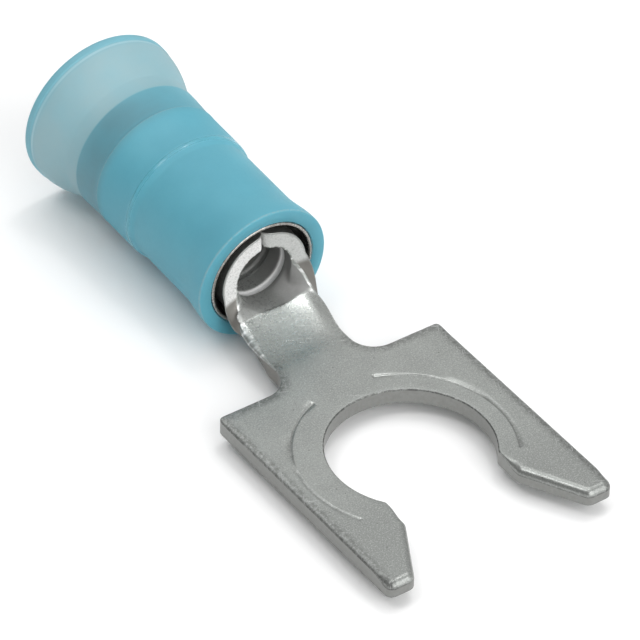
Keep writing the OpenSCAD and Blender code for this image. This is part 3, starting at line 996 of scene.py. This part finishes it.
class Finish:
    """A material or world whose nodes come from one method."""

    def __init__(self, owner):
        owner.use_nodes = True
        self.owner = owner
        self.tree = owner.node_tree
        self.tree.nodes.clear()

    def node(self, kind, settings=None, inputs=None, output=0):
        """Adds a node: its settings first, then its sockets' values or links. Gives one of its outputs."""
        made = self.tree.nodes.new(kind)
        for name, value in (settings or {}).items():
            setattr(made, name, value)
        for key, value in (inputs or {}).items():
            if isinstance(value, Field):
                self.tree.links.new(value.socket, made.inputs[key])
            else:
                made.inputs[key].default_value = value
        return Field(self, made.outputs[output]) if made.outputs else None

    def millimetres(self):
        """Object coordinates in millimetres."""
        place = self.node("ShaderNodeTexCoord", output="Object")
        return self.node("ShaderNodeVectorMath", {"operation": "SCALE"}, {0: place, "Scale": 1.0 / MM})

    def axis(self, place, name):
        """One coordinate of a place."""
        return self.node("ShaderNodeSeparateXYZ", {}, {0: place}, output=name)

    def turned(self, place, turn, scale):
        """Coordinates turned about Z and then stretched."""
        inputs = {"Vector": place, "Rotation": (0.0, 0.0, math.radians(turn)), "Scale": scale}
        return self.node("ShaderNodeMapping", {"vector_type": "TEXTURE"}, inputs)

    def noise(self, place, scale, detail=2.0, roughness=0.5):
        """Noise with scale features per millimetre."""
        inputs = {"Vector": place, "Scale": scale, "Detail": detail, "Roughness": roughness}
        return self.node("ShaderNodeTexNoise", {}, inputs)

    def attribute(self, name):
        """A float attribute of the piece."""
        return self.node("ShaderNodeAttribute", {"attribute_name": name}, output="Fac")

    def blend(self, a, b, share):
        """Colour a towards colour b by a share."""
        settings = {"data_type": "RGBA"}
        return self.node("ShaderNodeMix", settings, {0: share, 6: opaque(a), 7: opaque(b)}, output=2)

    def bump(self, height, distance):
        """Normal from a height field of the given depth in millimetres."""
        inputs = {"Height": height, "Distance": distance * MM, "Strength": 1.0}
        return self.node("ShaderNodeBump", {}, inputs)

    def surface(self, inputs):
        """Ends the material in one principled shader."""
        shader = self.node("ShaderNodeBsdfPrincipled", {}, inputs)
        self.node("ShaderNodeOutputMaterial", {}, {"Surface": shader})
        return self.owner


def opaque(value):
    """A colour with full alpha, or a link as it is."""
    return value if isinstance(value, Field) else (*value[:3], 1.0)


# Features of a scratch's noise per millimetre along it
SCRATCH_RATE = 0.8


def scratches(finish, place, turn, rate, low, high):
    """Thin straight marks: noise with rate features per millimetre across them, kept only at its peaks."""
    drawn = finish.turned(place, turn, (1.0 / SCRATCH_RATE, 1.0 / rate, 1.0))
    return finish.noise(drawn, 1.0, 2.0, 0.5).ramp(low, high)


def tin_plate(look, f, b):
    """Satin tin on copper strip.

    It has clouds, grain, scratches and pits, a tone that gets duller towards the tips, a dull speckled band
    along the outer sides that is partly painted shade, painted shade lines along the edges and in the coined
    grooves, cut walls partly painted as shade, with thin plating and painted shade along the neck and white
    at the barrel's end as a painted highlight on its left half, burrs, a painted highlight line on the
    crease, painted shade inside the barrel behind it and a painted highlight on the first serration.
    """
    finish = Finish(bpy.data.materials.new("tin_plate"))
    place = finish.millimetres()
    sideways = finish.axis(place, "X")
    along = finish.axis(place, "Y")
    side, upper, cut = finish.attribute("side"), finish.attribute("upper"), finish.attribute("cut")
    shade_and_burr_line, burr, coin = finish.attribute("line"), finish.attribute("burr"), finish.attribute("coin")
    cloud = finish.noise(place, 0.55, 4.0, 0.55).ramp(0.32, 0.70)
    mottle = finish.noise(place, 5.5, 4.0, 0.6)
    grain = finish.noise(place, 17.0, 3.0, 0.75)
    speckle = finish.noise(place, 6.0, 4.0, 0.7)
    marks = scratches(finish, place, 62.0, 26.0, 0.66, 0.74)
    marks = marks + scratches(finish, place, -28.0, 20.0, 0.67, 0.75)
    cell = finish.node("ShaderNodeTexVoronoi", {}, {"Vector": place, "Scale": 1.7}, output="Distance")
    pit = 1.0 - cell.ramp(0.03, 0.075)
    neck = along.ramp(f.shoulder_reach + 0.4, f.shoulder_reach + 1.2)
    end = along.ramp(b.front_y - 0.08, b.front_y - 0.02)
    # Band along the outer sides: speckles and scratches, partly painted shade where the rolled edge turns
    # away
    band = (1.0 - side.ramp(0.1, 0.55)) * (0.25 + speckle.ramp(0.4, 0.6) * 0.75)
    behind = along.ramp(b.crease_y, b.crease_y + 0.14) * upper
    outside = end * (1.0 - upper)
    # Painted highlight: a thin bright line along the crease
    crease = (1.0 - (along - b.crease_y).size().ramp(0.0, 0.025)) * upper * mottle.ramp(0.3, 0.6)
    # Painted highlight: the first serration painted bright
    groove_y = b.rolled_y + b.groove_lead + b.groove_width / 2
    groove = (1.0 - (along - groove_y).size().ramp(0.11, 0.17)) * upper
    # Duller tone towards the tips
    darker_to_tips = 1.0 - along.ramp(-f.tip_reach, 2.0)
    base = finish.blend(look.tin_dull, look.tin, (cloud * 0.35 + mottle * 0.9 - darker_to_tips * 0.8).held())
    base = finish.blend(base, look.tin_dark, grain.ramp(0.5, 0.72) * 0.22)
    base = finish.blend(base, look.tin_bright, grain.ramp(0.5, 0.3) * 0.3)
    base = finish.blend(base, look.tin_bright, (marks * (0.06 + band * 1.1)).held())
    base = finish.blend(base, look.tin_dark, (pit * 0.5 + band * 0.5).held())
    # Painted shade inside the barrel behind the crease, heavier towards its right wall, and faint painted
    # shade on the barrel's outside in the gap
    wall_side = sideways.ramp(0.2, 1.1)
    painted_bore_shade = behind * (0.35 + wall_side * 0.65) + outside * 0.15
    base = finish.blend(base, look.inside, (painted_bore_shade * (0.75 + mottle * 0.4)).held())
    base = finish.blend(base, look.tin_bright, (crease * 0.5 + groove * 0.9).held())
    # Cut walls: dull sheared metal, partly painted shade; along the neck, thin-plated metal with painted
    # shade
    wall = finish.blend(look.sheared, look.tin_dull, mottle)
    wall = finish.blend(wall, finish.blend(look.bare_metal_and_shade, look.tin_dull, grain * 0.4), neck)
    # Barrel's end: white painted highlight on its left half, blending to tin on its right
    face = finish.blend(look.end_face_highlight, look.tin, sideways.ramp(-0.25, 0.15) * 0.65)
    face = finish.blend(face, look.tin_dull, grain.ramp(0.42, 0.7) * 0.6)
    face = finish.blend(face, look.tin_dark, speckle.ramp(0.55, 0.68) * 0.35)
    wall = finish.blend(wall, face, end)
    base = finish.blend(base, wall, cut * 0.95)
    # Painted shade lines along the edges, ragged, and the burr's dark edge round the hole
    ragged = 0.4 + speckle.ramp(0.42, 0.55) * (0.4 - end * 0.6)
    base = finish.blend(base, look.tin_dark, shade_and_burr_line * ragged)
    # Painted shade in the coined grooves' thin part
    base = finish.blend(base, look.tin_dark, coin * (0.25 + speckle.ramp(0.4, 0.6) * 0.25))
    base = finish.blend(base, look.tin_bright, burr)
    rough = 0.24 + grain * 0.10 + mottle * 0.10 + behind * wall_side * 0.3 - neck * upper * 0.06
    height = grain * 0.5 + mottle * 0.5 - marks * 0.5 - pit * 1.2
    metallic = 0.92 - end * cut * 0.8 - behind * 0.45 - groove * 0.35 - burr * 0.6
    return finish.surface({
        "Base Color": base, "Metallic": metallic, "Roughness": rough,
        "Normal": finish.bump(height, 0.004),
    })


def bright_metal(look, b):
    """Thin drawn metal: fine draw lines along the barrel, a little mottling and a paler inside."""
    finish = Finish(bpy.data.materials.new("bright_metal"))
    place = finish.millimetres()
    along = finish.axis(place, "Y")
    drawn = finish.node("ShaderNodeMapping", {}, {"Vector": place, "Scale": (9.0, 0.4, 9.0)})
    lines = finish.noise(drawn, 1.0, 2.0, 0.5)
    mottle = finish.noise(place, 4.0, 3.0)
    inside = along.ramp(b.front_y + 0.4, b.front_y + 1.2)
    base = finish.blend(look.bright, look.tin_bright, (lines.ramp(0.35, 0.8) * 0.35 + inside * 0.45).held())
    rough = 0.18 + mottle * 0.14 + lines * 0.06 + inside * 0.16
    return finish.surface({
        "Base Color": base, "Metallic": 1.0, "Roughness": rough,
        "Normal": finish.bump(lines, 0.0012),
    })


def blue_nylon(look, v):
    """Translucent moulded nylon.

    It has clouds, a moulded skin, a funnel painted paler where light comes through it, with a painted
    highlight line inside its rim, painted shade on a band at the flare that is heavier on the left, painted
    highlights on the bead and ring line, and a glossier step.
    """
    finish = Finish(bpy.data.materials.new("blue_nylon"))
    place = finish.millimetres()
    station = finish.attribute("station")
    cloud = finish.noise(place, 0.5, 4.0, 0.55).ramp(0.3, 0.7)
    skin = finish.noise(place, 9.0, 4.0, 0.6)
    fine = finish.noise(place, 30.0, 2.0)
    sideways = finish.axis(place, "X")
    funnel = station.ramp(v.rear - 0.06, v.rear + 0.06)
    rim = station.ramp(v.funnel - v.rim - 0.35, v.funnel - v.rim + 0.1)
    # Painted shade: the band at the flare is heavier towards the left side
    left = 1.0 - sideways.ramp(-2.5, 2.8) * 0.75
    band = station.ramp(v.flare - 0.5, v.flare + 0.35) * (1.0 - funnel) * left
    # Painted highlights: pale lines on the bead's front edge and on the ring line
    front = station.ramp(0.0, 0.03) * (1.0 - station.ramp(v.bead_round, v.bead_round + 0.03))
    ring = 1.0 - (station - v.flare).size().ramp(0.01, 0.05)
    # Painted highlight: a light line inside the funnel's rim
    lip = 1.0 - (station - (v.funnel - v.rim - 0.1)).size().ramp(0.02, 0.09)
    step = 1.0 - (station - (v.support - STEP_REAR)).size().ramp(0.06, 0.16)
    base = finish.blend(look.nylon, look.nylon_deep, (cloud * 0.5 + skin * 0.3).held())
    base = finish.blend(base, look.nylon_slate, band * (0.7 + cloud * 0.3))
    # Painted light: the funnel paler where light comes through it
    base = finish.blend(base, look.nylon_pale, funnel * (0.95 - rim * 0.6) * (0.8 + cloud * 0.2))
    base = finish.blend(base, look.nylon_pale, ((front * 0.6 + ring * 0.35) * skin.ramp(0.3, 0.6)).held())
    base = finish.blend(base, look.nylon_light, lip * (0.3 + cloud * 0.4))
    rough = 0.42 + skin * 0.20 - step * 0.32
    return finish.surface({
        "Base Color": base, "Roughness": rough, "Normal": finish.bump(skin * 0.7 + fine * 0.3, 0.003),
        "IOR": 1.53, "Specular IOR Level": 0.3, "Transmission Weight": 0.4,
    })


def pale_floor(shade):
    """Plain pale floor with a barely visible mottle."""
    finish = Finish(bpy.data.materials.new("pale_floor"))
    place = finish.millimetres()
    mottle = finish.noise(place, 0.02, 2.0)
    base = finish.blend(shade, (0.95, 0.95, 0.95), mottle)
    return finish.surface({"Base Color": base, "Roughness": 0.9})


# Operators

def sizes(scene):
    """Sizes of the fork, of neck and barrel and of the sleeves, in millimetres."""
    f = values(scene.fork_sizes)
    b = barrel_frame(f, values(scene.barrel_sizes))
    return f, b, values(scene.sleeve_sizes)


class TERMINAL_OT_strip(bpy.types.Operator):
    """Make the stamped and rolled strip: fork, neck and barrel"""

    bl_idname = "terminal.strip"
    bl_label = "Formed strip"

    def execute(self, context):
        f, b, _ = sizes(context.scene)
        points, faces, attributes = strip_surface(f, b)
        material = tin_plate(values(context.scene.finishes), f, b)
        piece = make_piece("formed_strip", points, faces, material, attributes)
        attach(piece, "root")
        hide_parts("terminal")
        return {"FINISHED"}


class TERMINAL_OT_support(bpy.types.Operator):
    """Make the thin metal sleeve around the barrel"""

    bl_idname = "terminal.support"
    bl_label = "Support sleeve"

    def execute(self, context):
        _, b, v = sizes(context.scene)
        points, faces = revolved(sleeve_profile(v), v, b)
        material = bright_metal(values(context.scene.finishes), b)
        piece = make_piece("metal_sleeve", points, faces, material)
        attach(piece, "root")
        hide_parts("support_sleeve")
        return {"FINISHED"}


class TERMINAL_OT_nylon(bpy.types.Operator):
    """Make the translucent nylon sleeve with its funnel"""

    bl_idname = "terminal.nylon"
    bl_label = "Nylon sleeve"

    def execute(self, context):
        _, b, v = sizes(context.scene)
        profile = nylon_profile(v)
        points, faces = revolved(profile, v, b)
        station = np.tile(profile[:, 0], TURNS)
        material = blue_nylon(values(context.scene.finishes), v)
        piece = make_piece("nylon_skin", points, faces, material, {"station": station})
        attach(piece, "root")
        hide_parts("nylon_sleeve")
        return {"FINISHED"}


# Side and place of each lamp, and the point that they face, in millimetres
LAMPS = {
    "key": (320.0, (35.0, 65.0, 320.0)),
    "spark": (40.0, (84.0, 47.0, 307.0)),
    "edge": (100.0, (-144.0, 40.0, 286.0)),
    "front": (300.0, (28.0, -270.0, 145.0)),
}
LAMP_TARGET = (0.0, 8.0, 1.0)
# Direction of the dim side of the even light, and the cosines to it between which the light dims
DIM_SIDE = (-0.85, 0.1, 0.5)
DIM_RANGE = (0.1, 0.9)
# Points along each side of the floor
FLOOR_POINTS = 9
# Picture width in pixels, and the view's sensor in millimetres and clipping distances in metres
PICTURE = 640
SENSOR = 36.0
CLIP = (0.001, 10.0)


def lamp(name, power, size, place):
    """A square soft lamp at a place in millimetres, facing the lamps' target."""
    data = bpy.data.lights.new(name, "AREA")
    data.energy = power
    data.size = size * MM
    made = bpy.data.objects.new(name, data)
    place = Vector(place) * MM
    made.location = place
    made.rotation_euler = (Vector(LAMP_TARGET) * MM - place).to_track_quat("-Z", "Y").to_euler()
    bpy.context.scene.collection.objects.link(made)


class TERMINAL_OT_stage(bpy.types.Operator):
    """Set up the floor, the even light, the lamps and the view"""

    bl_idname = "terminal.stage"
    bl_label = "Stage"

    def execute(self, context):
        scene = context.scene
        stage = values(scene.stage_settings)
        self.floor(stage)
        self.light(scene, stage)
        self.view(scene, stage)
        scene.view_settings.view_transform = "Standard"
        return {"FINISHED"}

    def floor(self, stage):
        """Adds the floor under the model's lowest point."""
        low = CAD_BOX[0][2] / MM
        side = np.linspace(-stage.floor / 2, stage.floor / 2, FLOOR_POINTS)
        x, y = np.meshgrid(side, side, indexing="ij")
        points = np.stack([x, y, np.full_like(x, low)], -1).reshape(-1, 3)
        index = np.arange(x.size).reshape(x.shape)
        floor = make_piece("floor", points, grid_faces(index.T), pale_floor(stage.floor_colour))

    def light(self, scene, stage):
        """Adds the even light, which is weaker on its dim side, and the lamps."""
        scene.world = bpy.data.worlds.new("even_light")
        sky = Finish(scene.world)
        white = (1.0, 1.0, 1.0, 1.0)
        glow = sky.node("ShaderNodeBackground", {}, {"Color": white, "Strength": stage.sky})
        dim = sky.node("ShaderNodeBackground", {}, {"Color": white, "Strength": stage.dim_sky})
        way = sky.node("ShaderNodeTexCoord", output="Generated")
        shaded = tuple(Vector(DIM_SIDE).normalized())
        settings = {"operation": "DOT_PRODUCT"}
        facing = sky.node("ShaderNodeVectorMath", settings, {0: way, 1: shaded}, output="Value")
        mixed = sky.node("ShaderNodeMixShader", {}, {0: facing.ramp(*DIM_RANGE), 1: glow, 2: dim})
        sky.node("ShaderNodeOutputWorld", {}, {"Surface": mixed})
        for name, (size, place) in LAMPS.items():
            lamp(name + "_lamp", getattr(stage, name), size, place)

    def view(self, scene, stage):
        """Adds the view, with a lens that gives the pixel size at the hole's upper edge."""
        a, e, r = stage.azimuth, stage.elevation, stage.roll
        back = Vector((math.sin(a) * math.cos(e), -math.cos(a) * math.cos(e), math.sin(e)))
        level = Vector((math.cos(a), math.sin(a), 0.0))
        upright = back.cross(level)
        right = level * math.cos(r) + upright * math.sin(r)
        up = upright * math.cos(r) - level * math.sin(r)
        top = Vector((0.0, 0.0, STUD["dims"]["length_mm"]))
        place = top + right * stage.across + up * stage.upward + back * stage.distance
        data = bpy.data.cameras.new("view")
        data.sensor_width = SENSOR
        data.lens = SENSOR * stage.distance / (stage.pixel * PICTURE)
        data.clip_start, data.clip_end = CLIP
        camera = bpy.data.objects.new("view", data)
        turn = Matrix((right, up, back)).transposed().to_4x4()
        camera.matrix_world = Matrix.Translation(place * MM) @ turn
        scene.collection.objects.link(camera)
        scene.camera = camera


class TERMINAL_PT_panel(bpy.types.Panel):
    """Lists the pieces and the stage"""

    bl_idname = "TERMINAL_PT_panel"
    bl_label = "Fork terminal"
    bl_space_type = "VIEW_3D"
    bl_region_type = "UI"
    bl_category = "Terminal"

    def draw(self, context):
        for operator in OPERATORS:
            self.layout.operator(operator.bl_idname)


OPERATORS = (TERMINAL_OT_strip, TERMINAL_OT_support, TERMINAL_OT_nylon, TERMINAL_OT_stage)
CLASSES = (*GROUPS.values(), *OPERATORS, TERMINAL_PT_panel)


def register():
    for cls in CLASSES:
        bpy.utils.register_class(cls)
    for name, group in GROUPS.items():
        setattr(bpy.types.Scene, name, PointerProperty(type=group))


def unregister():
    for name in GROUPS:
        delattr(bpy.types.Scene, name)
    for cls in reversed(CLASSES):
        bpy.utils.unregister_class(cls)


def main():
    """Registers the classes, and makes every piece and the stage."""
    register()
    bpy.ops.terminal.strip()
    bpy.ops.terminal.support()
    bpy.ops.terminal.nylon()
    bpy.ops.terminal.stage()


if __name__ == "__main__":
    main()
